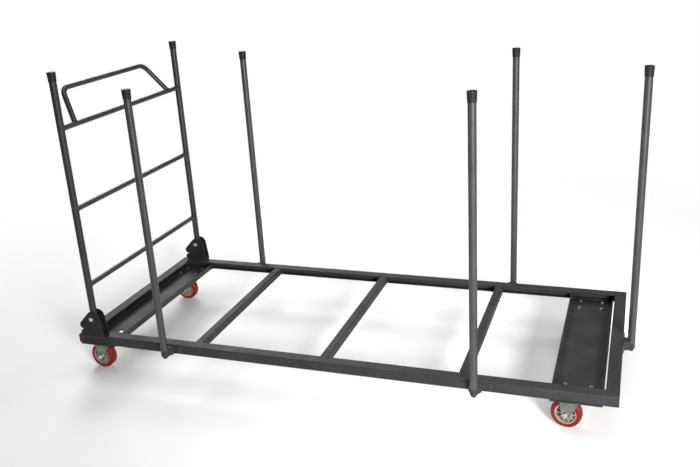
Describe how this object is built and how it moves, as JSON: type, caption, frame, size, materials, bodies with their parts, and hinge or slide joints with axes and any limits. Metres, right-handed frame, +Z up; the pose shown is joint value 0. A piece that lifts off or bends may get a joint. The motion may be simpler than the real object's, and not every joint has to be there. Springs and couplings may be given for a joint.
{
  "type": "banquet table trolley",
  "caption": "Low steel trolley on swivel casters that carries a stack of folding tables flat between lift-out posts, with a folding push end and a grab loop.",
  "frame": {"origin": "on the floor, under the middle of the trolley's overall length and width", "axes": "+X from the push end to the far end, +Y to the left of the pusher, +Z up from the floor"},
  "size_m": [1.9948, 0.8812, 1.151],
  "materials": {
    "powder_coated_steel": "charcoal grey powder coat with a fine texture and a dull sheen",
    "zinc_plated_steel": "bright zinc plate, slightly clouded",
    "black_cap_plastic": "black moulded plastic, satin",
    "cream_nylon": "cream moulded nylon, satin",
    "red_polyurethane": "red polyurethane, smooth with a worn band"
  },
  "bodies": {
    "base_frame": {"side_rail_front": "powder_coated_steel", "side_rail_back": "powder_coated_steel", "end_rail_push": "powder_coated_steel", "end_rail_far": "powder_coated_steel", "cross_tube_push": "powder_coated_steel", "cross_tube_middle": "powder_coated_steel", "cross_tube_far": "powder_coated_steel", "caster_bolster_push": "powder_coated_steel", "caster_bolster_far": "powder_coated_steel", "post_socket_push_front": "powder_coated_steel", "post_socket_push_back": "powder_coated_steel", "post_socket_far_front": "powder_coated_steel", "post_socket_far_back": "powder_coated_steel", "post_socket_end": "powder_coated_steel", "hinge_bracket_front": "powder_coated_steel", "hinge_bracket_back": "powder_coated_steel", "pivot_bolts": "zinc_plated_steel", "pivot_nuts": "zinc_plated_steel", "caster_plate_push_front": "zinc_plated_steel", "caster_plate_push_back": "zinc_plated_steel", "caster_plate_far_front": "zinc_plated_steel", "caster_plate_far_back": "zinc_plated_steel", "kingpins": "zinc_plated_steel", "caster_bolts": "zinc_plated_steel", "caster_nuts": "zinc_plated_steel"},
    "push_end": {"upright_front": "powder_coated_steel", "upright_back": "powder_coated_steel", "crossbar_low": "powder_coated_steel", "crossbar_middle": "powder_coated_steel", "crossbar_top": "powder_coated_steel", "handle_loop": "powder_coated_steel", "upright_caps": "black_cap_plastic"},
    "post_push_front": {"post_push_front": "powder_coated_steel", "post_cap_push_front": "black_cap_plastic"},
    "post_push_back": {"post_push_back": "powder_coated_steel", "post_cap_push_back": "black_cap_plastic"},
    "post_far_front": {"post_far_front": "powder_coated_steel", "post_cap_far_front": "black_cap_plastic"},
    "post_far_back": {"post_far_back": "powder_coated_steel", "post_cap_far_back": "black_cap_plastic"},
    "post_end": {"post_end": "powder_coated_steel", "post_cap_end": "black_cap_plastic"},
    "fork_push_front": {"caster_fork_push_front": "zinc_plated_steel", "caster_axle_push_front": "zinc_plated_steel"},
    "wheel_push_front": {"wheel_hub_push_front": "cream_nylon", "wheel_tread_push_front": "red_polyurethane"},
    "fork_push_back": {"caster_fork_push_back": "zinc_plated_steel", "caster_axle_push_back": "zinc_plated_steel"},
    "wheel_push_back": {"wheel_hub_push_back": "cream_nylon", "wheel_tread_push_back": "red_polyurethane"},
    "fork_far_front": {"caster_fork_far_front": "zinc_plated_steel", "caster_axle_far_front": "zinc_plated_steel"},
    "wheel_far_front": {"wheel_hub_far_front": "cream_nylon", "wheel_tread_far_front": "red_polyurethane"},
    "fork_far_back": {"caster_fork_far_back": "zinc_plated_steel", "caster_axle_far_back": "zinc_plated_steel"},
    "wheel_far_back": {"wheel_hub_far_back": "cream_nylon", "wheel_tread_far_back": "red_polyurethane"}
  },
  "joints": [
    {"name": "push_end_fold", "type": "hinge", "parent": "base_frame", "child": "push_end", "pos_m": [-0.9123, 0, 0.245], "axis": [0, 1, 0], "range_deg": [0, 93]},
    {"name": "post_lift_push_front", "type": "slide", "parent": "base_frame", "child": "post_push_front", "axis": [0, 0, 1], "range_m": [0, 0.06]},
    {"name": "post_lift_push_back", "type": "slide", "parent": "base_frame", "child": "post_push_back", "axis": [0, 0, 1], "range_m": [0, 0.06]},
    {"name": "post_lift_far_front", "type": "slide", "parent": "base_frame", "child": "post_far_front", "axis": [0, 0, 1], "range_m": [0, 0.06]},
    {"name": "post_lift_far_back", "type": "slide", "parent": "base_frame", "child": "post_far_back", "axis": [0, 0, 1], "range_m": [0, 0.06]},
    {"name": "post_lift_end", "type": "slide", "parent": "base_frame", "child": "post_end", "axis": [0, 0, 1], "range_m": [0, 0.06]},
    {"name": "swivel_push_front", "type": "hinge", "parent": "base_frame", "child": "fork_push_front", "pos_m": [-0.9203, -0.325, 0.11], "axis": [0, 0, 1], "continuous": true},
    {"name": "wheel_spin_push_front", "type": "hinge", "parent": "fork_push_front", "child": "wheel_push_front", "pos_m": [-0.95228, -0.32388, 0.05], "axis": [0.0349, 0.9994, 0], "continuous": true},
    {"name": "swivel_push_back", "type": "hinge", "parent": "base_frame", "child": "fork_push_back", "pos_m": [-0.9203, 0.325, 0.11], "axis": [0, 0, 1], "continuous": true},
    {"name": "wheel_spin_push_back", "type": "hinge", "parent": "fork_push_back", "child": "wheel_push_back", "pos_m": [-0.95228, 0.32612, 0.05], "axis": [0.0349, 0.9994, 0], "continuous": true},
    {"name": "swivel_far_front", "type": "hinge", "parent": "base_frame", "child": "fork_far_front", "pos_m": [0.8247, -0.325, 0.11], "axis": [0, 0, 1], "continuous": true},
    {"name": "wheel_spin_far_front", "type": "hinge", "parent": "fork_far_front", "child": "wheel_far_front", "pos_m": [0.79309, -0.31999, 0.05], "axis": [0.1564, 0.9877, 0], "continuous": true},
    {"name": "swivel_far_back", "type": "hinge", "parent": "base_frame", "child": "fork_far_back", "pos_m": [0.8247, 0.325, 0.11], "axis": [0, 0, 1], "continuous": true},
    {"name": "wheel_spin_far_back", "type": "hinge", "parent": "fork_far_back", "child": "wheel_far_back", "pos_m": [0.79309, 0.33001, 0.05], "axis": [0.1564, 0.9877, 0], "continuous": true}
  ]
}
